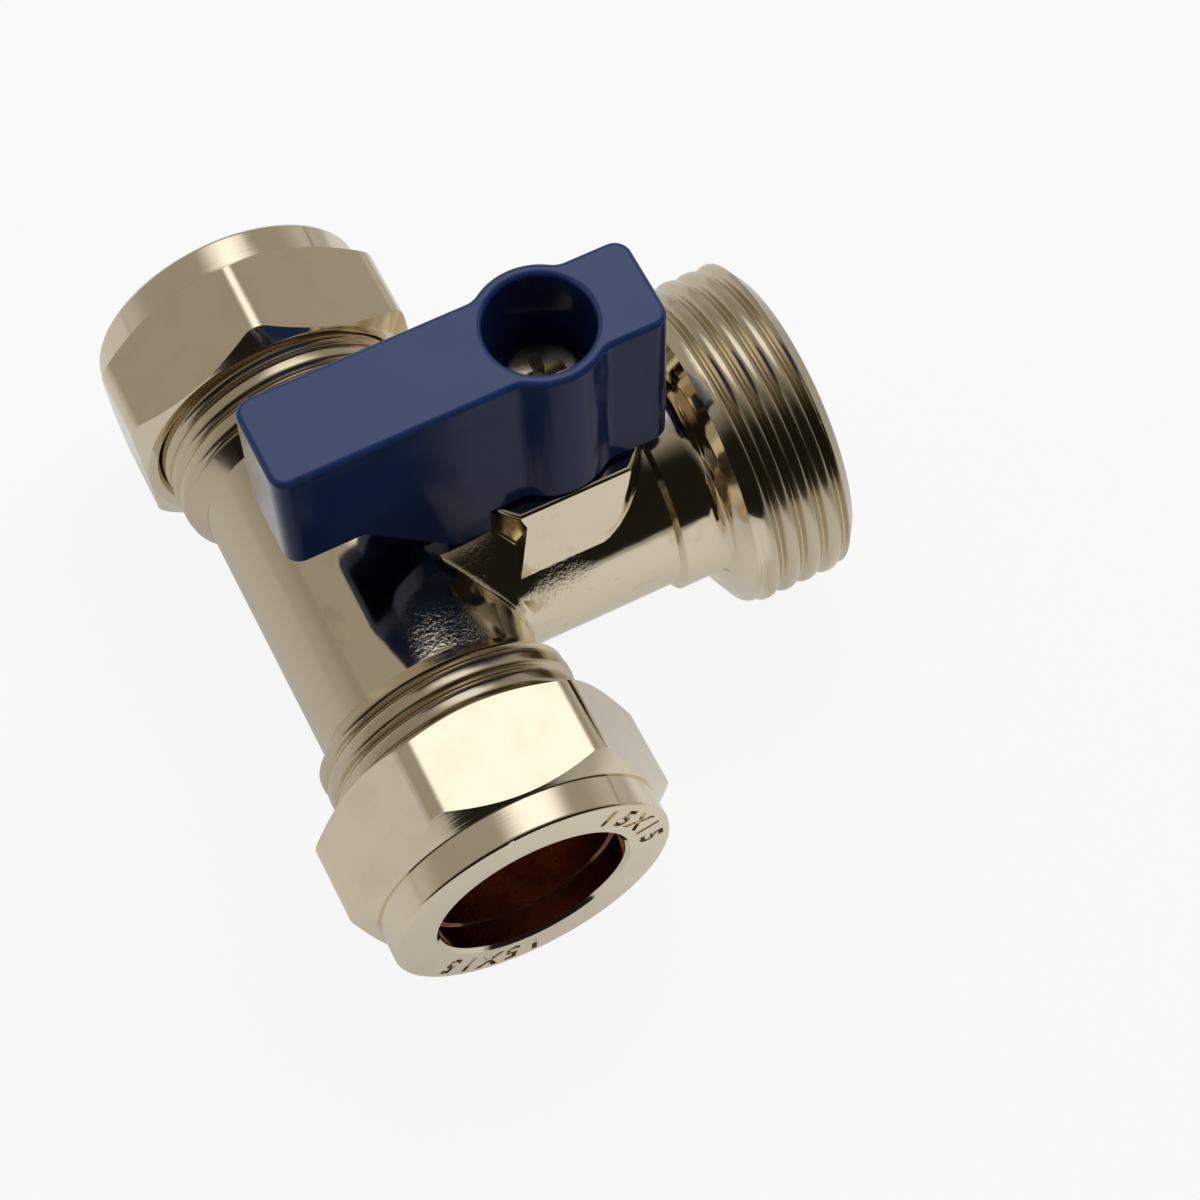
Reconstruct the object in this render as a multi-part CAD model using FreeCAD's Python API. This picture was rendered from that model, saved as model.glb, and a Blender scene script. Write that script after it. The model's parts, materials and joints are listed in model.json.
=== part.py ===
import FreeCAD, Part
import math
import os

Vector = FreeCAD.Vector

# Shared clearances and small edge breaks
running_clearance = 0.05
ring_clearance = 0.03
washer_clearance = 0.02
edge_break = 0.3

# Ball and its chamber, on the branch axis
stem_x = 15.24
ball_radius = 7.0
ball_bore_radius = 4.25
ball_slot_depth = 2.0
chamber_clearance = 0.35
inner_waterway_radius = 4.6
seat_bore_radius = 4.4
seat_overlap = 0.36
seat_thickness = 3.04
retainer_ledge = 0.65
retainer_length = 4.2
retainer_socket_width = 10.0
retainer_socket_depth = 2.4

# Branch: neck, bead, flare and G 3/4 male outlet
branch_wall = 1.65
bead_offset = 0.72
bead_lead = 0.35
bead_length = 2.4
bead_wall = 1.6
flare_bend_length = 1.3
flare_bend_rise = 1.55
flare_cone_length = 0.9
flare_shoulder_length = 1.0
flare_shoulder_drop = 0.47
outlet_thread_radius = 13.22
outlet_thread_length = 7.8
outlet_chamfer_length = 1.0
outlet_chamfer_drop = 1.36
outlet_bore_radius = 9.7
outlet_bore_taper = 1.52
outlet_bore_chamfer = 0.4

# Run: tube across the branch with a 15 mm compression end at each side
pipe_radius = 7.5
pipe_clearance = 0.10
run_step = 0.25
run_waterway_radius = 6.4
run_thread_rise = 1.23
run_thread_start = 12.7
run_thread_lead = 1.3
pipe_stop = 11.5
run_end = 20.6
run_end_chamfer = 0.5
junction_rounding = 1.0

# Olives: copper rings with a cone at each end
olive_bore_clearance = 0.05
olive_end_wall = 0.40
olive_rise = 0.67
olive_cone_length = 2.1
olive_land_length = 2.0
olive_seat_depth = 0.53
thread_pitch = 1.814

# Compression nuts
nut_length = 11.05
nut_wall = 1.27
nut_corner_rise = 1.6
nut_edge_rounding = 2.0
nut_back_chamfer = 1.05
nut_back_drop = 1.7
nut_front_chamfer = 1.3
nut_lip_length = 2.35
nut_hole_clearance = 0.25
nut_mouth_chamfer = 0.4
nut_thread_relief = 0.4
collar_inset = 0.35
collar_length = 2.75
collar_rounding = 0.35
front_corner_angle = 54.0
rear_corner_angle = 32.7

# Stem with its collar, seals and boss
stem_radius = 3.25
stem_tang_width = 2.6
stem_tang_clearance = 0.05
stem_tang_lift = 0.15
stem_collar_rise = 1.25
stem_collar_lift = 0.3
stem_collar_thickness = 1.2
thrust_washer_thickness = 0.65
packing_length = 2.3
oring_cord = 0.8
oring_flat = 0.48
oring_groove_width = 0.95
oring_groove_depth = 0.8
oring_spacing = 1.15
stem_square = 5.0
stem_square_lift = 0.4
boss_wall = 2.45
boss_rounding = 0.4
boss_pad_width = 10.34
boss_pad_reach = 3.9
boss_draft = 16.0
saddle_rounding = 0.5

# Lever
lever_gap = 0.6
lever_width = 7.95
lever_long_reach = 22.42
lever_short_reach = 8.69
lever_corner_rounding = 1.35
lever_bulge_wall = 1.05
lever_bulge_blend = 1.8
lever_top_rounding = 0.45
lever_tip_lift = 4.8
lever_slope_reach = 16.4
lever_skirt_reach = 9.6
lever_skirt_drop = 2.7
lever_skirt_clearance = 0.65
lever_wall = 1.4
lever_roof = 2.2
lever_hub_wall = 1.7
lever_socket_depth = 5.0
lever_socket_clearance = 0.05
lever_web = 1.8
well_radius = 4.15
well_depth = 9.27
stop_gap = 0.10
stop_wall = 1.2
stop_rise = 2.6

# Lever screw
screw_radius = 1.5
screw_depth = 5.8
screw_tip_gap = 0.3
screw_head_clearance = 0.75
screw_head_height = 2.4
screw_head_rounding = 0.9
screw_hole_clearance = 0.15
recess_span = 3.7
recess_width = 0.95
recess_depth = 1.3

# Sizes that follow: branch
chamber_radius = ball_radius + chamber_clearance
branch_radius = chamber_radius + branch_wall
seat_reach = ball_radius - seat_overlap
seat_setback = seat_reach - seat_thickness
seat_floor = stem_x - seat_reach
retainer_floor = stem_x + seat_reach
retainer_end = retainer_floor + retainer_length
retainer_radius = chamber_radius + retainer_ledge
retainer_bore_radius = retainer_radius + running_clearance
bead_start = retainer_floor + bead_offset
bead_radius = retainer_bore_radius + bead_wall
flare_start = bead_start + bead_length
flare_bend = flare_start + flare_bend_length
flare_bend_radius = bead_radius + flare_bend_rise
flare_edge = flare_bend + flare_cone_length
outlet_thread_start = flare_edge + flare_shoulder_length
outlet_end = outlet_thread_start + outlet_thread_length

# Sizes that follow: run, olives and nuts, drawn towards +Y
run_radius = branch_radius + run_step
run_thread_radius = run_radius + run_thread_rise
socket_radius = pipe_radius + pipe_clearance
olive_bore_radius = pipe_radius + olive_bore_clearance
olive_end_radius = olive_bore_radius + olive_end_wall
olive_radius = olive_end_radius + olive_rise
olive_slope = olive_rise / olive_cone_length
olive_land_inner = run_end + thread_pitch - olive_seat_depth
olive_inner_end = olive_land_inner - olive_cone_length
olive_land_outer = olive_land_inner + olive_land_length
olive_outer_end = olive_land_outer + olive_cone_length
mouth_radius = olive_radius + running_clearance + olive_slope * olive_seat_depth
mouth_start = run_end - (mouth_radius - socket_radius) / olive_slope
nut_lip = olive_outer_end + running_clearance
nut_face = nut_lip + nut_lip_length
nut_back = nut_face - nut_length
nut_bore_radius = run_thread_radius + running_clearance
nut_flat_radius = nut_bore_radius + nut_wall
nut_corner_radius = nut_flat_radius + nut_corner_rise
nut_hole_radius = pipe_radius + nut_hole_clearance
nut_thread_end = run_end + thread_pitch + nut_thread_relief
collar_radius = nut_flat_radius - collar_inset
hex_end = nut_face - collar_length

# Sizes that follow: stem, boss and lever, upwards from the ball
slot_bottom = ball_radius - ball_slot_depth
tang_bottom = slot_bottom + stem_tang_lift
collar_bottom = chamber_radius + stem_collar_lift
collar_top = collar_bottom + stem_collar_thickness
washer_bottom = collar_top + washer_clearance
washer_top = washer_bottom + thrust_washer_thickness
boss_top = washer_top + packing_length
stem_collar_radius = stem_radius + stem_collar_rise
pocket_radius = stem_collar_radius + running_clearance
boss_radius = pocket_radius + boss_wall
boss_spread = boss_top * math.tan(math.radians(boss_draft))
pad_half = boss_pad_width / 2
pad_end = stem_x - boss_pad_reach
hole_radius = stem_radius + ring_clearance
groove_radius = hole_radius - oring_groove_depth
lower_ring = washer_top + packing_length / 2 - oring_spacing / 2
upper_ring = lower_ring + oring_spacing
lever_bottom = boss_top + lever_gap
square_start = boss_top + stem_square_lift
stem_top = lever_bottom + lever_socket_depth
screw_end = stem_top - screw_depth
well_floor = stem_top + lever_web
lever_top = well_floor + well_depth
lever_tip_bottom = lever_bottom + lever_tip_lift
lever_skirt_bottom = lever_bottom - lever_skirt_drop
half_width = lever_width / 2
bulge_radius = well_radius + lever_bulge_wall
lever_tip = stem_x - lever_long_reach
lever_heel = stem_x + lever_short_reach
screw_head_radius = well_radius - screw_head_clearance
screw_head_top = well_floor + screw_head_height

origin = Vector(0, 0, 0)
along_x = Vector(1, 0, 0)
along_y = Vector(0, 1, 0)
along_z = Vector(0, 0, 1)
stem_foot = Vector(stem_x, 0, 0)
quarter = 1 - math.sqrt(0.5)


def turned(points, axis, centre=origin):
    # Each point is (distance along the axis, radius); two more values give a point that an arc passes through
    across = {"x": along_z, "y": along_x, "z": along_x}[axis]
    along = {"x": along_x, "y": along_y, "z": along_z}[axis]
    places = [centre + along * point[0] + across * point[1] for point in points]
    edges = []
    for index, point in enumerate(points):
        start = places[index - 1]
        if len(point) == 4:
            middle = centre + along * point[2] + across * point[3]
            edges.append(Part.Arc(start, middle, places[index]).toShape())
        else:
            edges.append(Part.LineSegment(start, places[index]).toShape())
    wire = Part.Wire(Part.__sortEdges__(edges))
    return Part.Face(wire).revolve(centre, along, 360)


def ring(inner, outer, start, end, axis, centre=origin):
    return turned([(start, inner), (end, inner), (end, outer), (start, outer)], axis, centre)


def block(x_span, y_span, z_span):
    low = Vector(min(x_span), min(y_span), min(z_span))
    high = Vector(max(x_span), max(y_span), max(z_span))
    size = high - low
    return Part.makeBox(size.x, size.y, size.z, low)


def hexagon_bar(across_flats, length):
    radius = across_flats / math.sqrt(3)
    corners = []
    for step in range(7):
        angle = math.radians(60 * step)
        corners.append(Vector(radius * math.cos(angle), radius * math.sin(angle), 0))
    return Part.Face(Part.makePolygon(corners)).extrude(along_z * length)


def upright_edges(solid):
    found = []
    for edge in solid.Edges:
        ends = [vertex.Point for vertex in edge.Vertexes]
        if len(ends) == 2 and (ends[1] - ends[0]).cross(along_z).Length < 1e-6:
            found.append(edge)
    return found


def soften(solid, radius, chosen):
    edges = []
    for edge in solid.Edges:
        low, high = edge.ParameterRange
        places = [edge.valueAt(low + (high - low) * share) for share in (0.05, 0.35, 0.65, 0.95)]
        if all(chosen(place) for place in places):
            edges.append(edge)
    return solid.makeFillet(radius, edges)


def on_run(point):
    return abs(math.hypot(point.x, point.z) - run_radius) < 1e-3


def on_branch(point):
    return abs(math.hypot(point.y, point.z) - branch_radius) < 1e-3


def on_boss(point):
    flank = pad_half + boss_spread * (1 - point.z / boss_top)
    round_side = abs(math.hypot(point.x - stem_x, point.y) - boss_radius) < 1e-3
    return round_side or abs(abs(point.y) - flank) < 1e-3


def run_branch_seam(point):
    return on_run(point) and on_branch(point) and point.x > 0


def boss_seam(point):
    return on_boss(point) and on_branch(point) and point.z > 0


def boss_rim(point):
    return on_boss(point) and abs(point.z - boss_top) < 1e-3


def stem_boss():
    # A round boss and a pad towards the run; the two flanks and the pad's end lean in with the draft
    foot_half = pad_half + boss_spread
    section = [(-foot_half, 0), (foot_half, 0), (pad_half, boss_top), (-pad_half, boss_top), (-foot_half, 0)]
    flanks = Part.Face(Part.makePolygon([Vector(0, y, z) for y, z in section]))
    flanks = flanks.extrude(along_x * (stem_x + boss_radius * 2))
    profile = [(pad_end - boss_spread, 0), (stem_x, 0), (stem_x, boss_top), (pad_end, boss_top)]
    profile.append(profile[0])
    pad = Part.Face(Part.makePolygon([Vector(x, -foot_half, z) for x, z in profile]))
    pad = pad.extrude(along_y * foot_half * 2)
    return Part.makeCylinder(boss_radius, boss_top, stem_foot).fuse(pad).common(flanks).removeSplitter()


def casting():
    run_side = [
        (run_thread_start - run_thread_lead, run_radius),
        (run_thread_start, run_thread_radius),
        (run_end - run_end_chamfer, run_thread_radius),
        (run_end, run_thread_radius - run_end_chamfer),
        (run_end, 0),
    ]
    other_side = [(-level, radius) for level, radius in reversed(run_side)]
    run = turned(other_side + run_side, "y")
    neck = Part.makeCylinder(branch_radius, flare_start, origin, along_x)
    outlet = turned([
        (bead_start - bead_lead, 0),
        (bead_start - bead_lead, branch_radius),
        (bead_start, bead_radius),
        (flare_start, bead_radius),
        (flare_bend, flare_bend_radius,
         flare_start + flare_bend_length * 0.68, bead_radius + flare_bend_rise * 0.36),
        (flare_edge, outlet_thread_radius - flare_shoulder_drop),
        (outlet_thread_start, outlet_thread_radius),
        (outlet_end - outlet_chamfer_length, outlet_thread_radius),
        (outlet_end, outlet_thread_radius - outlet_chamfer_drop),
        (outlet_end, 0),
    ], "x")
    solid = soften(run.fuse(neck), junction_rounding, run_branch_seam)
    solid = soften(solid.fuse(stem_boss()), saddle_rounding, boss_seam)
    solid = soften(solid, boss_rounding, boss_rim)
    return solid.fuse(outlet).fuse(lever_stop()).removeSplitter()


def lever_stop():
    # A post beside the boss: the heel meets one face when open, the arm meets the other when shut
    corner = half_width + stop_gap
    reach = boss_radius + stop_wall
    height = lever_bottom + stop_rise
    post = block((stem_x + corner, stem_x + reach), (corner, reach), (0, height))
    return post.common(Part.makeCylinder(reach, height, stem_foot))


def run_hollow():
    side = [
        (pipe_stop, run_waterway_radius),
        (pipe_stop, socket_radius),
        (mouth_start, socket_radius),
        (run_end, mouth_radius),
        (nut_face, mouth_radius),
        (nut_face, 0),
    ]
    other_side = [(-level, radius) for level, radius in reversed(side)]
    return turned(other_side + side, "y")


def branch_hollow():
    mouth = outlet_bore_radius + outlet_bore_chamfer
    past = outlet_end + outlet_bore_chamfer
    return turned([
        (0, 0),
        (0, inner_waterway_radius),
        (seat_floor, inner_waterway_radius),
        (seat_floor, chamber_radius),
        (retainer_floor, chamber_radius),
        (retainer_floor, retainer_bore_radius),
        (retainer_end, retainer_bore_radius),
        (retainer_end + outlet_bore_taper, outlet_bore_radius),
        (outlet_end - outlet_bore_chamfer, outlet_bore_radius),
        (outlet_end, mouth),
        (past, mouth),
        (past, 0),
    ], "x")


def stem_hollow():
    return turned([
        (0, 0),
        (0, pocket_radius),
        (washer_top, pocket_radius),
        (washer_top, hole_radius),
        (lever_bottom, hole_radius),
        (lever_bottom, 0),
    ], "z", stem_foot)


def valve_body():
    return casting().cut(run_hollow()).cut(branch_hollow()).cut(stem_hollow())


def compression_nut():
    bar = hexagon_bar(nut_flat_radius * 2, hex_end - nut_back)
    bar = bar.makeFillet(nut_edge_rounding, upright_edges(bar))
    bar.rotate(origin, along_x, -90)
    bar.translate(along_y * nut_back)
    limit = turned([
        (nut_back, 0),
        (nut_back, nut_corner_radius - nut_back_drop),
        (nut_back + nut_back_chamfer, nut_corner_radius),
        (hex_end - nut_front_chamfer, nut_corner_radius),
        (hex_end, nut_flat_radius - collar_inset / 2),
        (hex_end, 0),
    ], "y")
    collar = turned([
        (hex_end - nut_front_chamfer, 0),
        (hex_end - nut_front_chamfer, collar_radius),
        (nut_face - collar_rounding, collar_radius),
        (nut_face, collar_radius - collar_rounding,
         nut_face - collar_rounding * quarter, collar_radius - collar_rounding * quarter),
        (nut_face, 0),
    ], "y")
    past = nut_back - nut_mouth_chamfer
    hollow = turned([
        (past, 0),
        (past, nut_bore_radius + nut_mouth_chamfer),
        (nut_back, nut_bore_radius + nut_mouth_chamfer),
        (nut_back + nut_mouth_chamfer, nut_bore_radius),
        (nut_thread_end, nut_bore_radius),
        (olive_land_outer, olive_radius + running_clearance),
        (olive_outer_end, olive_end_radius + running_clearance),
        (nut_lip, olive_end_radius + running_clearance),
        (nut_lip, nut_hole_radius),
        (nut_face - edge_break, nut_hole_radius),
        (nut_face, nut_hole_radius + edge_break),
        (nut_face + edge_break, nut_hole_radius + edge_break),
        (nut_face + edge_break, 0),
    ], "y")
    return bar.common(limit).fuse(collar).removeSplitter().cut(hollow)


def olive():
    return turned([
        (olive_inner_end, olive_bore_radius),
        (olive_outer_end, olive_bore_radius),
        (olive_outer_end, olive_end_radius),
        (olive_land_outer, olive_radius),
        (olive_land_inner, olive_radius),
        (olive_inner_end, olive_end_radius),
    ], "y")


def ball():
    bore = Part.makeCylinder(ball_bore_radius, ball_radius * 2, stem_foot - along_x * ball_radius, along_x)
    slot_half = stem_tang_width / 2 + stem_tang_clearance
    slot = block((stem_x - slot_half, stem_x + slot_half), (-ball_radius, ball_radius), (slot_bottom, boss_top))
    return Part.makeSphere(ball_radius, stem_foot).cut(bore).cut(slot)


def seat(side):
    levels = sorted((stem_x + side * seat_setback, stem_x + side * seat_reach))
    solid = ring(seat_bore_radius, chamber_radius, levels[0], levels[1], "x")
    return solid.cut(Part.makeSphere(ball_radius + running_clearance, stem_foot))


def seat_retainer():
    solid = turned([
        (retainer_floor, inner_waterway_radius),
        (retainer_floor, retainer_radius),
        (retainer_end - edge_break, retainer_radius),
        (retainer_end, retainer_radius - edge_break),
        (retainer_end, inner_waterway_radius),
    ], "x")
    socket = hexagon_bar(retainer_socket_width, retainer_length)
    socket.rotate(origin, along_y, 90)
    socket.translate(along_x * (retainer_end - retainer_socket_depth))
    return solid.cut(socket)


def stem():
    half = oring_groove_width / 2
    solid = turned([
        (tang_bottom, 0),
        (tang_bottom, stem_radius),
        (collar_bottom, stem_radius),
        (collar_bottom, stem_collar_radius),
        (collar_top, stem_collar_radius),
        (collar_top, stem_radius),
        (lower_ring - half, stem_radius),
        (lower_ring - half, groove_radius),
        (lower_ring + half, groove_radius),
        (lower_ring + half, stem_radius),
        (upper_ring - half, stem_radius),
        (upper_ring - half, groove_radius),
        (upper_ring + half, groove_radius),
        (upper_ring + half, stem_radius),
        (stem_top - edge_break, stem_radius),
        (stem_top, stem_radius - edge_break),
        (stem_top, 0),
    ], "z", stem_foot)
    flat = stem_square / 2
    cheek = stem_tang_width / 2
    wide = stem_collar_radius
    for side in (-1, 1):
        x_flat = (stem_x + side * flat, stem_x + side * wide)
        x_cheek = (stem_x + side * cheek, stem_x + side * wide)
        x_all = (stem_x - wide, stem_x + wide)
        solid = solid.cut(block(x_flat, (-wide, wide), (square_start, stem_top)))
        solid = solid.cut(block(x_all, (side * flat, side * wide), (square_start, stem_top)))
        solid = solid.cut(block(x_cheek, (-wide, wide), (0, collar_bottom)))
    return solid.cut(Part.makeCylinder(screw_radius, screw_depth, stem_foot + along_z * screw_end))


def stem_oring(level):
    outer = hole_radius - ring_clearance / 2
    middle = (groove_radius + outer) / 2
    flat = oring_flat / 2
    cord = oring_cord / 2
    return turned([
        (level - flat, groove_radius, level - cord, middle),
        (level + flat, groove_radius),
        (level + flat, outer, level + cord, middle),
        (level - flat, outer),
    ], "z", stem_foot)


def lever_plan():
    height = lever_top - lever_skirt_bottom
    bar = block((lever_tip, lever_heel), (-half_width, half_width), (lever_skirt_bottom, lever_top))
    bar = bar.makeFillet(lever_corner_rounding, upright_edges(bar))
    bulge = Part.makeCylinder(bulge_radius, height, stem_foot + along_z * lever_skirt_bottom)
    plan = bar.fuse(bulge).removeSplitter()
    inner = []
    for edge in upright_edges(plan):
        place = edge.Vertexes[0].Point
        reach = math.hypot(place.x - stem_x, place.y)
        if abs(reach - bulge_radius) < 1e-4 and abs(abs(place.y) - half_width) < 1e-4:
            inner.append(edge)
    return plan.makeFillet(lever_bulge_blend, inner)


def lever_side():
    # Side view: shallow tip, slope down to the skirt, step up to the hub
    points = [
        (lever_tip, lever_top),
        (lever_tip, lever_tip_bottom),
        (stem_x - lever_slope_reach, lever_tip_bottom),
        (stem_x - lever_skirt_reach, lever_skirt_bottom),
        (stem_x, lever_skirt_bottom),
        (stem_x, lever_bottom),
        (lever_heel, lever_bottom),
        (lever_heel, lever_top),
        (lever_tip, lever_top),
    ]
    wire = Part.makePolygon([Vector(x, -lever_width, z) for x, z in points])
    return Part.Face(wire).extrude(along_y * lever_width * 2)


def lever():
    solid = lever_plan().common(lever_side())
    solid = solid.cut(Part.makeCylinder(boss_radius + lever_skirt_clearance, lever_bottom, stem_foot))
    rim = [edge for edge in solid.Edges if abs(edge.BoundBox.ZMin - lever_top) < 1e-5]
    solid = solid.makeFillet(lever_top_rounding, rim)
    well_mouth = well_radius + lever_top_rounding
    well = turned([
        (well_floor, 0),
        (well_floor, well_radius),
        (lever_top - lever_top_rounding, well_radius),
        (lever_top, well_mouth, lever_top - lever_top_rounding * quarter, well_mouth - lever_top_rounding
         + lever_top_rounding * quarter),
        (lever_top + lever_top_rounding, well_mouth),
        (lever_top + lever_top_rounding, 0),
    ], "z", stem_foot)
    hub_radius = well_radius + lever_hub_wall
    inside = half_width - lever_wall
    roof = lever_top - lever_roof
    arm = block((lever_tip + lever_wall, stem_x - hub_radius), (-inside, inside), (0, roof))
    heel = block((stem_x + hub_radius, lever_heel - lever_wall), (-inside, inside), (0, roof))
    grip = stem_square / 2 + lever_socket_clearance
    socket = block((stem_x - grip, stem_x + grip), (-grip, grip), (0, stem_top))
    throat = Part.makeCylinder(stem_radius + lever_skirt_clearance, square_start + stem_square_lift, stem_foot)
    screw_hole = Part.makeCylinder(screw_radius + screw_hole_clearance, lever_top, stem_foot)
    for hollow in (well, arm, heel, socket, throat, screw_hole):
        solid = solid.cut(hollow)
    return solid


def lever_screw():
    tip = screw_end + screw_tip_gap
    shoulder = screw_head_top - screw_head_rounding
    crown = screw_head_radius - screw_head_rounding
    solid = turned([
        (tip, 0),
        (tip, screw_radius - edge_break),
        (tip + edge_break, screw_radius),
        (well_floor, screw_radius),
        (well_floor, screw_head_radius),
        (shoulder, screw_head_radius),
        (screw_head_top, crown,
         screw_head_top - screw_head_rounding * quarter, screw_head_radius - screw_head_rounding * quarter),
        (screw_head_top, 0),
    ], "z", stem_foot)
    depth = (screw_head_top - recess_depth, screw_head_top)
    long_half = recess_span / 2
    short_half = recess_width / 2
    for across, along in ((long_half, short_half), (short_half, long_half)):
        solid = solid.cut(block((stem_x - across, stem_x + across), (-along, along), depth))
    return solid


def towards_front(shape):
    placed = shape.copy()
    placed.rotate(origin, along_z, 180)
    return placed


def with_corner_at(shape, angle):
    placed = shape.copy()
    placed.rotate(origin, along_y, -angle)
    return placed


pieces = {
    "valve_body": valve_body(),
    "front_nut": with_corner_at(towards_front(compression_nut()), front_corner_angle),
    "rear_nut": with_corner_at(compression_nut(), rear_corner_angle),
    "front_olive": towards_front(olive()),
    "rear_olive": olive(),
    "ball": ball(),
    "inner_seat": seat(-1),
    "outer_seat": seat(1),
    "seat_retainer": seat_retainer(),
    "stem": stem(),
    "thrust_washer": ring(hole_radius, stem_collar_radius, washer_bottom, washer_top, "z", stem_foot),
    "lower_stem_oring": stem_oring(lower_ring),
    "upper_stem_oring": stem_oring(upper_ring),
    "lever": lever(),
    "lever_screw": lever_screw(),
}

# The frame sits under the middle of the whole part, at its lowest point
whole = Part.makeCompound(list(pieces.values())).optimalBoundingBox(False)
shift = Vector(-whole.Center.x, -whole.Center.y, -whole.ZMin)

os.makedirs("parts", exist_ok=True)
for name, shape in pieces.items():
    placed = shape.copy()
    placed.translate(shift)
    placed.exportStep("parts/" + name + ".step")
    print(name, len(placed.Solids), placed.isValid(), round(placed.Volume, 1))
print("shift", shift, "box", whole)
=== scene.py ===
import bpy
import json
import math
from mathutils import Euler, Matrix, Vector

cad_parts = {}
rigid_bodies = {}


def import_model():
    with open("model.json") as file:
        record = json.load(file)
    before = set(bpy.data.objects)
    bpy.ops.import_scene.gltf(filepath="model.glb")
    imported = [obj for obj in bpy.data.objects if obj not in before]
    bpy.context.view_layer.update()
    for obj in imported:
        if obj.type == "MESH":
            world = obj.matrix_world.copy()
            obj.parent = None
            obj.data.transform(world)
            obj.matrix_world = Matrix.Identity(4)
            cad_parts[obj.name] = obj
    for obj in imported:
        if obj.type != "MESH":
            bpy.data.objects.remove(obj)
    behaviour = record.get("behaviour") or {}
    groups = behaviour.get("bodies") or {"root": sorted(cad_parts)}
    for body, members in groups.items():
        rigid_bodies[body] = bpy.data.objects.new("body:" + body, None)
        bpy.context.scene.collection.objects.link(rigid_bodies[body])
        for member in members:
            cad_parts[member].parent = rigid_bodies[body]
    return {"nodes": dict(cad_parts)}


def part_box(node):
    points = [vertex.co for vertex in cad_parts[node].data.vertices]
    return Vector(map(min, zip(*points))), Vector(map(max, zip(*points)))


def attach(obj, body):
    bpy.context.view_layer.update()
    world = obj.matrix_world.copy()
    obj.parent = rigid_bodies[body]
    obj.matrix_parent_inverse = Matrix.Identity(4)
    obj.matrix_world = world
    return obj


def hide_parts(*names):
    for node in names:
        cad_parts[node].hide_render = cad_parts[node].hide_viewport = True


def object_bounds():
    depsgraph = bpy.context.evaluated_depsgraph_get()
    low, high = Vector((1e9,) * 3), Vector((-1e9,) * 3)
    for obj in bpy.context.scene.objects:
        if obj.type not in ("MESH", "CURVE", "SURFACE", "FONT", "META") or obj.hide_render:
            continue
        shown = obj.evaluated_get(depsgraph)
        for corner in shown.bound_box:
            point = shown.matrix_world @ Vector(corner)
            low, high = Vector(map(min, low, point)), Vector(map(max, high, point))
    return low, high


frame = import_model()
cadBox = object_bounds()
cadMiddle = (cadBox[0] + cadBox[1]) / 2
nodes = frame["nodes"]
mm = 0.001
weldGap = 0.0005 * mm


def middleOf(node):
    low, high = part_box(node)
    return (low + high) / 2


runMiddle = middleOf("front_olive")        # x and z of the run's axis
branchMiddle = middleOf("seat_retainer")   # y and z of the branch's axis
stemMiddle = middleOf("lever_screw")       # x and y of the stem's axis
print("frame:", len(nodes), "nodes loaded")


# Modelling helpers
def pick(piece):
    bpy.ops.object.select_all(action="DESELECT")
    piece.select_set(True)
    bpy.context.view_layer.objects.active = piece


def editing(on):
    bpy.ops.object.mode_set(mode="EDIT" if on else "OBJECT")


def applyModifiers(piece):
    pick(piece)
    for modifier in list(piece.modifiers):
        bpy.ops.object.modifier_apply(modifier=modifier.name)


def copyOf(node, name):
    piece = bpy.data.objects.new(name, nodes[node].data.copy())
    bpy.context.collection.objects.link(piece)
    pick(piece)
    editing(True)
    bpy.ops.mesh.select_all(action="SELECT")
    bpy.ops.mesh.remove_doubles(threshold=weldGap)
    bpy.ops.mesh.customdata_custom_splitnormals_clear()
    editing(False)
    return piece


def carve(piece, cutter):
    cut = piece.modifiers.new(cutter.name, "BOOLEAN")
    cut.operation = "DIFFERENCE"
    cut.solver = "EXACT"
    cut.object = cutter
    applyModifiers(piece)
    bpy.data.objects.remove(cutter)


# Threads: a sleeve with the thread on its inner wall is wound along local +X, put in place and cut away
threads = {
    "pitch": 1.814,
    "halfGroove": [(0.80, -0.003), (0.67, -0.02), (0.55, -0.065), (0.45, -0.13), (0.36, -0.22),
                   (0.27, -0.34), (0.18, -0.47), (0.09, -0.57), (0.03, -0.60)],
    "depth": 0.61,
    "landDrop": 0.02,
    "wall": 2.5,
    "turns": 7,
    "stepsPerTurn": 90,
    "fadeLength": 0.9,
    "smoothAngle": 34,
    "outlet": {"start": 26.2, "edge": 26.9, "size": 1.0},
    "run": {"start": 10.5, "edge": 12.2, "size": 0.8, "crest": 10.48},
}


def grooveSection(size):
    # one pitch of the thread, from left land to right land, then back along the sleeve's outside
    half = threads["pitch"] / 2
    left = [(half - away * size, level * size) for away, level in threads["halfGroove"]]
    right = [(half + away * size, level * size) for away, level in reversed(threads["halfGroove"])]
    inner = [(0, 0)] + left + [(half, -threads["depth"] * size)] + right + [(threads["pitch"], 0)]
    return inner + [(threads["pitch"], threads["wall"]), (0, threads["wall"])]


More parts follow.
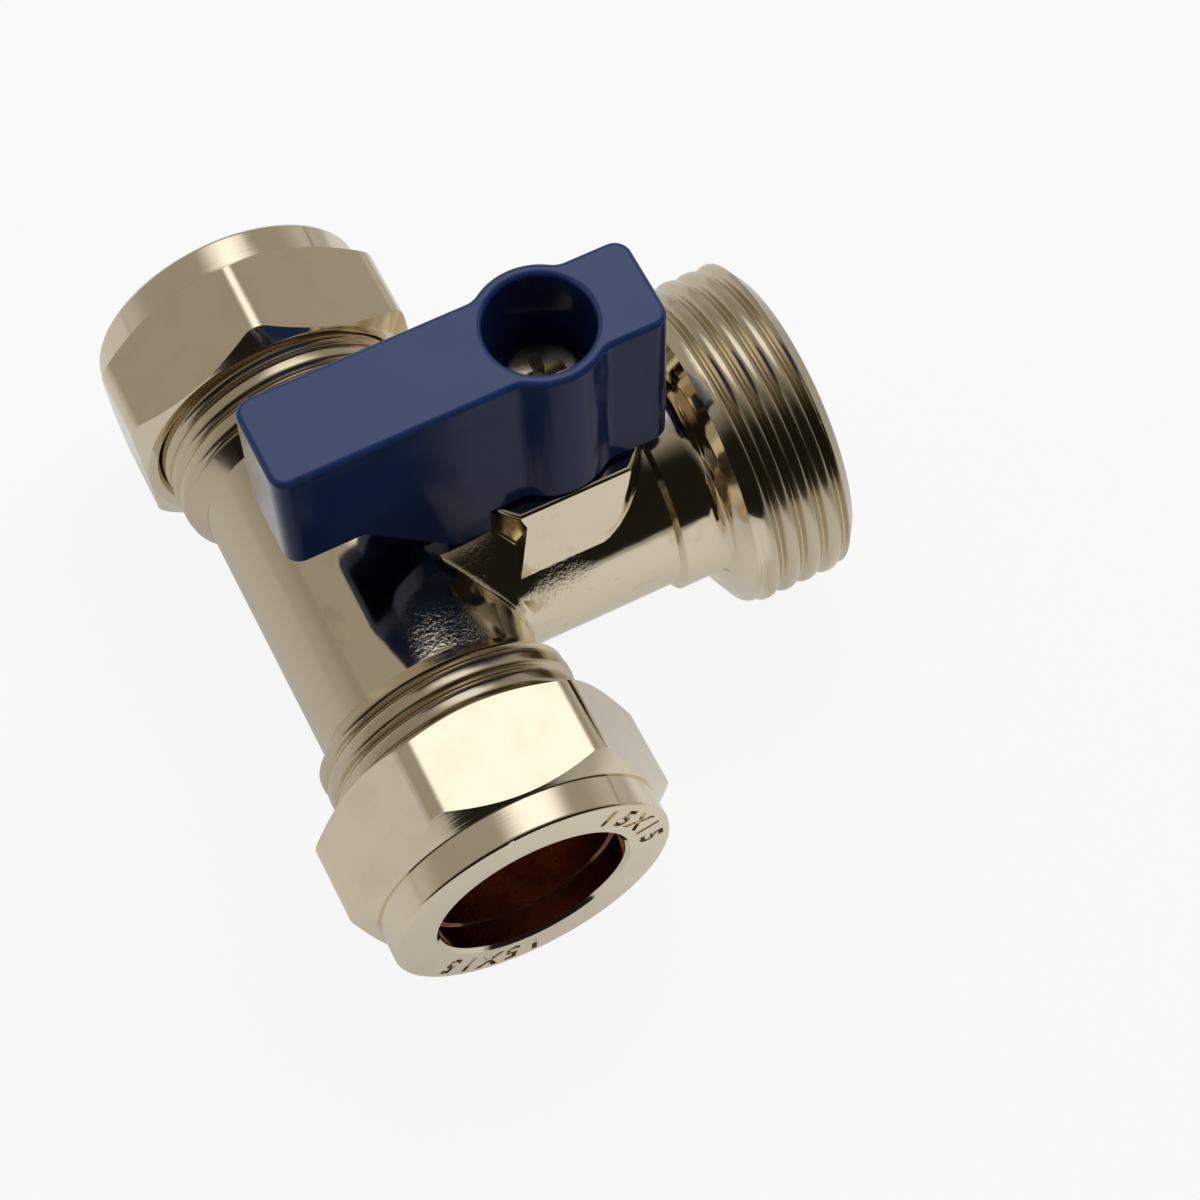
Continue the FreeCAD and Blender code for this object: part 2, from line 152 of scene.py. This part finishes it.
def threadSleeve(name, crest, place, centre, heading):
    section = grooveSection(place["size"])
    count = len(section)
    land = crest - threads["landDrop"] * mm
    bpy.ops.object.select_all(action="DESELECT")
    bpy.ops.mesh.primitive_plane_add(size=mm)
    sleeve = bpy.context.object
    sleeve.name = name
    # the plane shrinks to one vertex, which draws the section, and a face closes it
    editing(True)
    bpy.ops.mesh.merge(type="CENTER")
    bpy.ops.transform.translate(value=(place["start"] * mm, 0, land))
    for (lastX, lastZ), (x, z) in zip(section, section[1:]):
        step = ((x - lastX) * mm, 0, (z - lastZ) * mm)
        bpy.ops.mesh.extrude_region_move(TRANSFORM_OT_translate={"value": step})
    bpy.ops.mesh.select_all(action="SELECT")
    bpy.ops.mesh.edge_face_add()
    editing(False)
    wind = sleeve.modifiers.new("wind", "SCREW")
    wind.axis = "X"
    wind.angle = math.tau * threads["turns"]
    wind.screw_offset = threads["pitch"] * mm * threads["turns"]
    wind.iterations = 1
    wind.steps = threads["stepsPerTurn"] * threads["turns"]
    wind.render_steps = wind.steps
    applyModifiers(sleeve)
    fadeThread(sleeve.data, count, land, place)
    joinTurns(sleeve.data, count)
    sleeve.location = centre
    sleeve.rotation_euler = (0, 0, heading)
    bpy.context.view_layer.update()
    return sleeve


def fadeThread(mesh, count, land, place):
    # the groove grows out of the shoulder, and the sleeve stands clear of what lies before it
    edge = place["edge"] * mm
    for index, vertex in enumerate(mesh.vertices):
        if index % count >= count - 2:
            continue
        radius = math.hypot(vertex.co.y, vertex.co.z)
        turned = index // count / threads["stepsPerTurn"]
        grooveX = (place["start"] + threads["pitch"] * (0.5 + turned)) * mm
        grown = min(1.0, max(0.0, (grooveX - edge) / (threads["fadeLength"] * mm)))
        target = land + (radius - land) * grown + max(0.0, edge - vertex.co.x)
        vertex.co.y *= target / radius
        vertex.co.z *= target / radius


def joinTurns(mesh, count):
    # the side walls between neighbouring turns go, and the turns are welded
    leftWall = {0, count - 1}
    rightWall = {count - 3, count - 2}
    secondTurn = threads["stepsPerTurn"]
    lastTurn = threads["stepsPerTurn"] * (threads["turns"] - 1)
    for face in mesh.polygons:
        places = {index % count for index in face.vertices}
        step = min(index // count for index in face.vertices)
        touchesLast = places == leftWall and step >= secondTurn
        touchesNext = places == rightWall and step < lastTurn
        face.select = touchesLast or touchesNext
    for edge in mesh.edges:
        edge.select = False
    for vertex in mesh.vertices:
        vertex.select = False
    editing(True)
    bpy.ops.mesh.select_mode(type="FACE")
    bpy.ops.mesh.delete(type="ONLY_FACE")
    bpy.ops.mesh.select_mode(type="VERT")
    bpy.ops.mesh.select_all(action="SELECT")
    bpy.ops.mesh.remove_doubles(threshold=weldGap)
    bpy.ops.mesh.fill_holes(sides=0)
    bpy.ops.mesh.normals_make_consistent(inside=False)
    editing(False)


def makeThreadedBody():
    body = copyOf("valve_body", "threadedBody")
    outletCrest = branchMiddle.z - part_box("valve_body")[0].z
    runCrest = threads["run"]["crest"] * mm
    runCentre = Vector((runMiddle.x, 0, runMiddle.z))
    branchCentre = Vector((runMiddle.x, 0, branchMiddle.z))
    carve(body, threadSleeve("outletThread", outletCrest, threads["outlet"], branchCentre, 0))
    carve(body, threadSleeve("frontThread", runCrest, threads["run"], runCentre, -math.pi / 2))
    carve(body, threadSleeve("rearThread", runCrest, threads["run"], runCentre, math.pi / 2))
    pick(body)
    bpy.ops.object.shade_smooth_by_angle(angle=math.radians(threads["smoothAngle"]))
    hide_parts("valve_body")
    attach(body, "body")
    print("body: threads cut,", len(body.data.polygons), "faces")
    return body


threadedBody = makeThreadedBody()


# Nuts: the pipe size is stamped twice into each end face, each line from its own start angle
stamp = {
    "lines": {50.0: "15X15", -92.0: "15X15"},
    "height": 2.6,
    "stroke": 0.09,
    "depth": 0.2,
    "radius": 9.7,
    "step": 11.5,
    "curveSteps": 4,
    "weld": 0.001,
    "smoothAngle": 28,
    "nuts": {
        "front_nut": {"piece": "frontNut", "body": "front_nut_body", "side": -1},
        "rear_nut": {"piece": "rearNut", "body": "rear_nut_body", "side": 1},
    },
}


def makeGlyph(letter, angle, side, face):
    # drawn flat, made mesh, then stood on the end face with its head outwards
    bpy.ops.object.select_all(action="DESELECT")
    bpy.ops.object.text_add()
    glyph = bpy.context.object
    glyph.data.body = letter
    glyph.data.size = stamp["height"] * mm
    glyph.data.extrude = stamp["depth"] * mm
    glyph.data.offset = stamp["stroke"] * mm
    glyph.data.resolution_u = stamp["curveSteps"]
    glyph.data.align_x = "CENTER"
    glyph.data.align_y = "CENTER"
    bpy.ops.object.convert(target="MESH")
    editing(True)
    bpy.ops.mesh.select_all(action="SELECT")
    bpy.ops.mesh.remove_doubles(threshold=stamp["weld"] * mm)
    bpy.ops.mesh.normals_make_consistent(inside=False)
    editing(False)
    lean = math.radians(angle)
    reach = stamp["radius"] * mm
    turn = lean - math.pi / 2 if side < 0 else math.pi / 2 - lean
    stand = Euler((math.pi / 2, 0, 0 if side < 0 else math.pi)).to_matrix()
    glyph.rotation_euler = (stand @ Euler((0, 0, turn)).to_matrix()).to_euler()
    glyph.location = (runMiddle.x + reach * math.cos(lean), face, runMiddle.z + reach * math.sin(lean))
    bpy.ops.object.transform_apply(location=True, rotation=True, scale=True)
    return glyph


def makeStampedNut(node, recipe):
    piece = copyOf(node, recipe["piece"])
    low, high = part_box(node)
    face = high.y if recipe["side"] > 0 else low.y
    glyphs = []
    for start, line in stamp["lines"].items():
        for index, letter in enumerate(line):
            angle = start + recipe["side"] * index * stamp["step"]
            glyphs.append(makeGlyph(letter, angle, recipe["side"], face))
    for glyph in glyphs:
        glyph.select_set(True)
    bpy.context.view_layer.objects.active = glyphs[0]
    bpy.ops.object.join()
    carve(piece, glyphs[0])
    bpy.ops.object.shade_smooth_by_angle(angle=math.radians(stamp["smoothAngle"]))
    level = piece.modifiers.new("level", "WEIGHTED_NORMAL")
    level.keep_sharp = True
    applyModifiers(piece)
    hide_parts(node)
    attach(piece, recipe["body"])
    return piece


stampedNuts = [makeStampedNut(node, recipe) for node, recipe in stamp["nuts"].items()]
print("nuts: stamped,", [len(nut.data.polygons) for nut in stampedNuts], "faces")


# Shader helpers
def addNode(tree, kind, values=None, **settings):
    made = tree.nodes.new("ShaderNode" + kind)
    for name, value in settings.items():
        setattr(made, name, value)
    for name, value in (values or {}).items():
        made.inputs[name].default_value = value
    return made


def feed(tree, value, socket):
    if isinstance(value, (int, float)):
        socket.default_value = value
    else:
        tree.links.new(value, socket)


def combine(tree, operation, first, second=0.0):
    made = addNode(tree, "Math", operation=operation)
    feed(tree, first, made.inputs[0])
    feed(tree, second, made.inputs[1])
    return made.outputs[0]


def remap(tree, value, low, high, newLow, newHigh):
    ends = {"From Min": low, "From Max": high, "To Min": newLow, "To Max": newHigh}
    made = addNode(tree, "MapRange", ends, interpolation_type="SMOOTHSTEP")
    tree.links.new(value, made.inputs["Value"])
    return made.outputs["Result"]


def noiseOf(tree, vector, scale, detail, roughness=0.5):
    made = addNode(tree, "TexNoise", {"Detail": detail, "Roughness": roughness})
    tree.links.new(vector, made.inputs["Vector"])
    feed(tree, scale, made.inputs["Scale"])
    return made.outputs["Fac"]


def startGroup(name, inputs, outputs):
    tree = bpy.data.node_groups.new(name, "ShaderNodeTree")
    for label, kind in inputs:
        tree.interface.new_socket(name=label, in_out="INPUT", socket_type="NodeSocket" + kind)
    for label, kind in outputs:
        tree.interface.new_socket(name=label, in_out="OUTPUT", socket_type="NodeSocket" + kind)
    return tree, tree.nodes.new("NodeGroupInput"), tree.nodes.new("NodeGroupOutput")


# Plated casting's skin: slow waves, fine grain where the patch mask asks for it, and stray pits
castGrain = {
    "waveScale": 240,
    "grainScale": 3100,
    "grainInPatch": 1.1,
    "grainElsewhere": 0.03,
    "pitScale": 420,
    "pitSpan": (0.05, 0.22),
    "pitDepth": 0.35,
    "pitFieldScale": 260,
    "pitFieldSpan": (0.60, 0.66),
    "stainScale": 330,
    "stainSpan": (0.58, 0.75),
    "stainShare": 0.5,
}


def makeCastSkin():
    tree, given, result = startGroup(
        "castSkin",
        [("Vector", "Vector"), ("Patch", "Float")],
        [("Height", "Float"), ("Stain", "Float")])
    where = given.outputs["Vector"]
    wave = noiseOf(tree, where, castGrain["waveScale"], detail=1.5)
    grain = noiseOf(tree, where, castGrain["grainScale"], detail=3, roughness=0.6)
    pitCells = addNode(tree, "TexVoronoi", {"Scale": castGrain["pitScale"]})
    tree.links.new(where, pitCells.inputs["Vector"])
    pitDip = remap(tree, pitCells.outputs["Distance"], *castGrain["pitSpan"], 1.0, 0.0)
    pitField = noiseOf(tree, where, castGrain["pitFieldScale"], detail=0)
    pits = combine(tree, "MULTIPLY", pitDip, remap(tree, pitField, *castGrain["pitFieldSpan"], 0.0, 1.0))
    inPatch = combine(tree, "MULTIPLY", given.outputs["Patch"], castGrain["grainInPatch"])
    grainShare = combine(tree, "ADD", inPatch, castGrain["grainElsewhere"])
    height = combine(tree, "ADD", wave, combine(tree, "MULTIPLY", grain, grainShare))
    height = combine(tree, "SUBTRACT", height, combine(tree, "MULTIPLY", pits, castGrain["pitDepth"]))
    cloud = noiseOf(tree, where, castGrain["stainScale"], detail=2)
    clouds = remap(tree, cloud, *castGrain["stainSpan"], 0.0, castGrain["stainShare"])
    stain = combine(tree, "MAXIMUM", pits, clouds)
    tree.links.new(height, result.inputs["Height"])
    tree.links.new(stain, result.inputs["Stain"])
    return tree


# Turned metal's skin: fine tool rings about local Y, as rings on faces and hoops on collars, under a haze
turnedMasks = {
    "hazeScale": 300,
    "toneSpan": (0.45, 0.75),
    "roughnessSpan": (0.3, 0.75),
}


def makeTurnedLines():
    tree, given, result = startGroup(
        "turnedLines",
        [("Vector", "Vector"), ("Scale", "Float")],
        [("Height", "Float"), ("Haze", "Float")])
    where = given.outputs["Vector"]
    parts = addNode(tree, "SeparateXYZ")
    tree.links.new(where, parts.inputs[0])
    squareX = combine(tree, "MULTIPLY", parts.outputs["X"], parts.outputs["X"])
    squareZ = combine(tree, "MULTIPLY", parts.outputs["Z"], parts.outputs["Z"])
    radius = combine(tree, "SQRT", combine(tree, "ADD", squareX, squareZ))
    rings = addNode(tree, "CombineXYZ")
    tree.links.new(radius, rings.inputs["X"])
    tree.links.new(parts.outputs["Y"], rings.inputs["Y"])
    lines = noiseOf(tree, rings.outputs[0], given.outputs["Scale"], detail=2, roughness=0.6)
    tree.links.new(lines, result.inputs["Height"])
    haze = noiseOf(tree, where, turnedMasks["hazeScale"], detail=3, roughness=0.6)
    tree.links.new(haze, result.inputs["Haze"])
    return tree


# Moulded plastic's skin: a fine orange peel over slow sink, and clouds that shift tone and shine
mouldedMasks = {
    "sinkScale": 120,
    "peelShare": 0.12,
    "cloudScale": 160,
    "toneSpan": (0.35, 0.7),
    "roughnessSpan": (0.3, 0.7),
    "sideSpan": (0.25, 0.9),
    "wornShare": 0.84,
}


def makeMouldedSkin():
    tree, given, result = startGroup(
        "mouldedSkin",
        [("Vector", "Vector"), ("Scale", "Float")],
        [("Height", "Float"), ("Cloud", "Float")])
    where = given.outputs["Vector"]
    peel = noiseOf(tree, where, given.outputs["Scale"], detail=2)
    sink = noiseOf(tree, where, mouldedMasks["sinkScale"], detail=1)
    height = combine(tree, "ADD", combine(tree, "MULTIPLY", peel, mouldedMasks["peelShare"]), sink)
    tree.links.new(height, result.inputs["Height"])
    tree.links.new(noiseOf(tree, where, mouldedMasks["cloudScale"], detail=3), result.inputs["Cloud"])
    return tree


castSkin = makeCastSkin()
turnedLines = makeTurnedLines()
mouldedSkin = makeMouldedSkin()


def startMaterial(name):
    material = bpy.data.materials.new(name)
    material.use_nodes = True
    tree = material.node_tree
    shader = tree.nodes["Principled BSDF"]
    place = addNode(tree, "TexCoord").outputs["Object"]
    return material, tree, shader, place


def useGroup(tree, group, vector, **values):
    made = tree.nodes.new("ShaderNodeGroup")
    made.node_tree = group
    tree.links.new(vector, made.inputs["Vector"])
    for name, value in values.items():
        feed(tree, value, made.inputs[name])
    return made.outputs


def twoTone(tree, shader, mask, plain, marked):
    mix = addNode(tree, "Mix", data_type="RGBA")
    mix.inputs["A"].default_value = (*plain, 1)
    mix.inputs["B"].default_value = (*marked, 1)
    tree.links.new(mask, mix.inputs["Factor"])
    tree.links.new(mix.outputs["Result"], shader.inputs["Base Color"])


def addBump(tree, shader, height, distance):
    bump = addNode(tree, "Bump", {"Strength": 1.0, "Distance": distance})
    tree.links.new(height, bump.inputs["Height"])
    tree.links.new(bump.outputs[0], shader.inputs["Normal"])


def centredOn(tree, place, centre):
    shift = addNode(tree, "Mapping", {"Location": tuple(-value for value in centre)})
    tree.links.new(place, shift.inputs["Vector"])
    return shift.outputs[0]


# Plated casting: warm nickel, a rough skin in patches near the branch's root, duller where threads were cut
castNickel = {
    "plain": (0.79, 0.70, 0.53),
    "stained": (0.58, 0.50, 0.36),
    "roughness": (0.09, 0.20),
    "bumpDistance": 0.05 * mm,
    "patches": [((-9.4, -9.5, 22.4), 4.2), ((1.2, -7.8, 17.8), 3.6), ((-4.0, -6.0, 21.5), 3.0)],
    "patchCore": 0.35,
    "threadStarts": {"X": 16.8, "Y": 12.7},
    "threadBlend": 0.3,
    "threadTone": 0.85,
    "threadRoughness": 0.2,
}


def makeCastNickel():
    material, tree, shader, place = startMaterial("castNickel")
    patch = None
    for centre, reach in castNickel["patches"]:
        away = addNode(tree, "VectorMath", operation="DISTANCE")
        tree.links.new(place, away.inputs[0])
        away.inputs[1].default_value = tuple(value * mm for value in centre)
        core = reach * castNickel["patchCore"]
        near = remap(tree, away.outputs["Value"], core * mm, reach * mm, 1.0, 0.0)
        patch = near if patch is None else combine(tree, "MAXIMUM", patch, near)
    skin = useGroup(tree, castSkin, place, Patch=patch)
    parts = addNode(tree, "SeparateXYZ")
    tree.links.new(place, parts.inputs[0])
    threaded = None
    blend = castNickel["threadBlend"]
    for side, start in castNickel["threadStarts"].items():
        along = combine(tree, "ABSOLUTE", parts.outputs[side])
        past = remap(tree, along, (start - blend) * mm, (start + blend) * mm, 0.0, 1.0)
        threaded = past if threaded is None else combine(tree, "MAXIMUM", threaded, past)
    cutTone = combine(tree, "MULTIPLY", threaded, castNickel["threadTone"])
    dulled = combine(tree, "MAXIMUM", skin["Stain"], cutTone)
    twoTone(tree, shader, dulled, castNickel["plain"], castNickel["stained"])
    low, high = castNickel["roughness"]
    skinRoughness = remap(tree, skin["Stain"], 0.0, 1.0, low, high)
    cutRoughness = combine(tree, "MULTIPLY", threaded, castNickel["threadRoughness"])
    tree.links.new(combine(tree, "MAXIMUM", skinRoughness, cutRoughness), shader.inputs["Roughness"])
    shader.inputs["Metallic"].default_value = 1.0
    addBump(tree, shader, skin["Height"], castNickel["bumpDistance"])
    return material


# Turned and plated parts: nuts, ball, screw, brass and copper share one recipe
turnedFinishes = {
    "nutNickel": {"plain": (0.80, 0.71, 0.55), "hazy": (0.76, 0.67, 0.51), "roughness": (0.07, 0.12),
                  "lines": 5000.0, "bump": 0.004, "axis": (runMiddle.x, 0, runMiddle.z)},
    "oliveCopper": {"plain": (0.62, 0.27, 0.15), "hazy": (0.36, 0.13, 0.06), "roughness": (0.22, 0.38),
                    "lines": 4200.0, "bump": 0.010, "axis": (runMiddle.x, 0, runMiddle.z)},
    "ballChrome": {"plain": (0.68, 0.68, 0.67), "hazy": (0.55, 0.55, 0.54), "roughness": (0.04, 0.10),
                   "lines": 4000.0, "bump": 0.001, "axis": (stemMiddle.x, 0, branchMiddle.z)},
    "innerBrass": {"plain": (0.74, 0.52, 0.22), "hazy": (0.56, 0.38, 0.15), "roughness": (0.16, 0.30),
                   "lines": 4000.0, "bump": 0.006, "axis": (stemMiddle.x, 0, branchMiddle.z)},
    "screwPlate": {"plain": (0.70, 0.63, 0.46), "hazy": (0.45, 0.39, 0.25), "roughness": (0.14, 0.28),
                   "lines": 4500.0, "bump": 0.005, "axis": (stemMiddle.x, 0, stemMiddle.z)},
}


def makeTurned(name):
    finish = turnedFinishes[name]
    material, tree, shader, place = startMaterial(name)
    lines = useGroup(tree, turnedLines, centredOn(tree, place, finish["axis"]), Scale=finish["lines"])
    hazeMask = remap(tree, lines["Haze"], *turnedMasks["toneSpan"], 0.0, 1.0)
    twoTone(tree, shader, hazeMask, finish["plain"], finish["hazy"])
    roughness = remap(tree, lines["Haze"], *turnedMasks["roughnessSpan"], *finish["roughness"])
    tree.links.new(roughness, shader.inputs["Roughness"])
    shader.inputs["Metallic"].default_value = 1.0
    addBump(tree, shader, lines["Height"], finish["bump"] * mm)
    return material


# Moulded parts: the lever, polished on its top and ends and duller along its sides, the seats and the seals
mouldedFinishes = {
    "leverBlue": {"plain": (0.0187, 0.043, 0.155), "cloudy": (0.022, 0.049, 0.172),
                  "roughness": (0.10, 0.15), "peel": 1800.0, "bump": 0.012, "gloss": 0.07, "polish": 0.82},
    "seatWhite": {"plain": (0.78, 0.77, 0.73), "cloudy": (0.70, 0.69, 0.64), "roughness": (0.38, 0.5),
                  "peel": 1500.0, "bump": 0.01, "gloss": 0.4, "polish": 0.0},
    "sealBlack": {"plain": (0.016, 0.016, 0.017), "cloudy": (0.028, 0.027, 0.026), "roughness": (0.45, 0.6),
                  "peel": 1500.0, "bump": 0.01, "gloss": 0.4, "polish": 0.0},
}


def addPolish(tree, shader, cloud, weight):
    # a coat on what faces up or along X, a little worn in clouds
    facing = addNode(tree, "SeparateXYZ")
    tree.links.new(addNode(tree, "TexCoord").outputs["Normal"], facing.inputs[0])
    sideways = combine(tree, "ABSOLUTE", facing.outputs["Y"])
    coat = remap(tree, sideways, *mouldedMasks["sideSpan"], weight, 0.0)
    worn = remap(tree, cloud, *mouldedMasks["roughnessSpan"], 1.0, mouldedMasks["wornShare"])
    tree.links.new(combine(tree, "MULTIPLY", coat, worn), shader.inputs["Coat Weight"])


def makeMoulded(name):
    finish = mouldedFinishes[name]
    material, tree, shader, place = startMaterial(name)
    skin = useGroup(tree, mouldedSkin, place, Scale=finish["peel"])
    cloudMask = remap(tree, skin["Cloud"], *mouldedMasks["toneSpan"], 0.0, 1.0)
    twoTone(tree, shader, cloudMask, finish["plain"], finish["cloudy"])
    roughness = remap(tree, skin["Cloud"], *mouldedMasks["roughnessSpan"], *finish["roughness"])
    tree.links.new(roughness, shader.inputs["Roughness"])
    shader.inputs["Specular IOR Level"].default_value = finish["gloss"]
    if finish["polish"]:
        addPolish(tree, shader, skin["Cloud"], finish["polish"])
        shader.inputs["Coat Roughness"].default_value = finish["roughness"][0]
    addBump(tree, shader, skin["Height"], finish["bump"] * mm)
    return material


materials = {"castNickel": makeCastNickel()}
for finishName in turnedFinishes:
    materials[finishName] = makeTurned(finishName)
for finishName in mouldedFinishes:
    materials[finishName] = makeMoulded(finishName)

finishOfNode = {
    "valve_body": "castNickel",
    "front_nut": "nutNickel",
    "rear_nut": "nutNickel",
    "front_olive": "oliveCopper",
    "rear_olive": "oliveCopper",
    "ball": "ballChrome",
    "inner_seat": "seatWhite",
    "outer_seat": "seatWhite",
    "thrust_washer": "seatWhite",
    "seat_retainer": "innerBrass",
    "stem": "innerBrass",
    "lower_stem_oring": "sealBlack",
    "upper_stem_oring": "sealBlack",
    "lever": "leverBlue",
    "lever_screw": "screwPlate",
}


def dress(piece, finish):
    piece.data.materials.clear()
    piece.data.materials.append(materials[finish])


for nodeName, finishName in finishOfNode.items():
    dress(nodes[nodeName], finishName)
dress(threadedBody, "castNickel")
for nut in stampedNuts:
    dress(nut, "nutNickel")
print("materials:", len(materials), "finishes set")


# Floor: pale paper, nearly white in view, and for the metal a glow that rises and then fades along X
floorPaper = {
    "size": 8.0,
    "tone": (0.66, 0.66, 0.65),
    "seenShare": 0.9,
    "mirroredShare": (0.34, 0.54),
    "riseSpan": (-0.075, 0.05),
    "fadeSpan": (0.03, 0.065),
}


def makeFloor():
    bpy.ops.object.select_all(action="DESELECT")
    bpy.ops.mesh.primitive_plane_add(size=floorPaper["size"])
    floor = bpy.context.object
    floor.name = "floor"
    material = bpy.data.materials.new("floorPaper")
    material.use_nodes = True
    tree = material.node_tree
    tree.nodes.clear()
    paper = addNode(tree, "BsdfDiffuse")
    paper.inputs["Color"].default_value = (*floorPaper["tone"], 1)
    glow = addNode(tree, "Emission", {"Strength": 1.0})
    ray = addNode(tree, "LightPath")
    seen = combine(tree, "MULTIPLY", ray.outputs["Is Camera Ray"], floorPaper["seenShare"])
    mirrored = combine(tree, "MAXIMUM", ray.outputs["Is Glossy Ray"], ray.outputs["Is Transmission Ray"])
    parts = addNode(tree, "SeparateXYZ")
    tree.links.new(addNode(tree, "TexCoord").outputs["Object"], parts.inputs[0])
    rise = remap(tree, parts.outputs["X"], *floorPaper["riseSpan"], *floorPaper["mirroredShare"])
    fade = remap(tree, parts.outputs["X"], *floorPaper["fadeSpan"], 1.0, 0.0)
    level = combine(tree, "MULTIPLY", rise, fade)
    share = combine(tree, "MAXIMUM", seen, combine(tree, "MULTIPLY", mirrored, level))
    mix = addNode(tree, "MixShader")
    tree.links.new(share, mix.inputs[0])
    tree.links.new(paper.outputs[0], mix.inputs[1])
    tree.links.new(glow.outputs[0], mix.inputs[2])
    tree.links.new(mix.outputs[0], addNode(tree, "OutputMaterial").inputs["Surface"])
    floor.data.materials.append(material)


# Softbox: a card for the metal to mirror, faded towards its edges
softbox = {
    "place": Vector((0.16, 0.23, 0.52)),
    "size": (0.62, 0.48),
    "edge": 0.36,
    "level": 1.35,
}


def makeSoftbox():
    turn = (softbox["place"] - cadMiddle).to_track_quat("Z", "Y").to_euler()
    bpy.ops.object.select_all(action="DESELECT")
    bpy.ops.mesh.primitive_plane_add(size=1, location=softbox["place"], rotation=turn)
    card = bpy.context.object
    card.name = "softbox"
    card.scale = (*softbox["size"], 1)
    material = bpy.data.materials.new("softboxCloth")
    material.use_nodes = True
    tree = material.node_tree
    shader = tree.nodes["Principled BSDF"]
    shader.inputs["Base Color"].default_value = (0, 0, 0, 1)
    shader.inputs["Emission Color"].default_value = (1, 1, 1, 1)
    shader.inputs["Emission Strength"].default_value = softbox["level"]
    along = addNode(tree, "SeparateXYZ")
    tree.links.new(addNode(tree, "TexCoord").outputs["Generated"], along.inputs[0])
    cover = None
    for side in ("X", "Y"):
        fromEnd = combine(tree, "SUBTRACT", 1.0, along.outputs[side])
        inset = combine(tree, "MINIMUM", along.outputs[side], fromEnd)
        share = remap(tree, inset, 0.0, softbox["edge"], 0.0, 1.0)
        cover = share if cover is None else combine(tree, "MULTIPLY", cover, share)
    tree.links.new(cover, shader.inputs["Alpha"])
    card.data.materials.append(material)
    card.visible_camera = False
    card.visible_shadow = False


# Dome: a warm room, paler at the horizon and dim in front
dome = {
    "horizonTone": (0.52, 0.505, 0.475),
    "upperTone": (0.36, 0.335, 0.285),
    "upperSpan": (0.05, 0.45),
    "dimTone": (0.012, 0.011, 0.008),
    "dimSpan": (-0.5, 0.08),
}


def makeDome():
    world = bpy.data.worlds.new("studio")
    bpy.context.scene.world = world
    world.use_nodes = True
    tree = world.node_tree
    parts = addNode(tree, "SeparateXYZ")
    tree.links.new(addNode(tree, "TexCoord").outputs["Generated"], parts.inputs[0])
    mix = addNode(tree, "Mix", data_type="RGBA")
    mix.inputs["A"].default_value = (*dome["horizonTone"], 1)
    mix.inputs["B"].default_value = (*dome["upperTone"], 1)
    tree.links.new(remap(tree, parts.outputs["Z"], *dome["upperSpan"], 0.0, 1.0), mix.inputs["Factor"])
    front = addNode(tree, "Mix", data_type="RGBA")
    front.inputs["A"].default_value = (*dome["dimTone"], 1)
    tree.links.new(mix.outputs["Result"], front.inputs["B"])
    tree.links.new(remap(tree, parts.outputs["Y"], *dome["dimSpan"], 0.0, 1.0), front.inputs["Factor"])
    tree.links.new(front.outputs["Result"], tree.nodes["Background"].inputs["Color"])


# Overhead lamp: soft and wide, left out of what the metal mirrors
overhead = {
    "place": Vector((0.30, 0.16, 0.95)),
    "size": (0.8, 0.8),
    "power": 4.6,
}


def makeLamp():
    data = bpy.data.lights.new("overhead", "AREA")
    data.shape = "RECTANGLE"
    data.size, data.size_y = overhead["size"]
    data.energy = overhead["power"]
    lamp = bpy.data.objects.new("overhead", data)
    bpy.context.collection.objects.link(lamp)
    lamp.location = overhead["place"]
    lamp.rotation_euler = (cadMiddle - overhead["place"]).to_track_quat("-Z", "Y").to_euler()
    lamp.visible_glossy = False


makeFloor()
makeSoftbox()
makeDome()
makeLamp()

# Camera, as the photograph was taken
view = {
    "place": (-0.044756, -0.111602, 0.236516),
    "turn": (27.03845, 0.68029, -26.67232),
    "lens": 96.327,
    "sensor": 36.0,
}
cameraData = bpy.data.cameras.new("camera")
cameraData.lens = view["lens"]
cameraData.sensor_width = view["sensor"]
camera = bpy.data.objects.new("camera", cameraData)
bpy.context.collection.objects.link(camera)
camera.location = view["place"]
camera.rotation_euler = tuple(math.radians(angle) for angle in view["turn"])
bpy.context.scene.camera = camera
bpy.context.scene.view_settings.view_transform = "Standard"
print("stage: floor, softbox, dome, lamp and camera set")
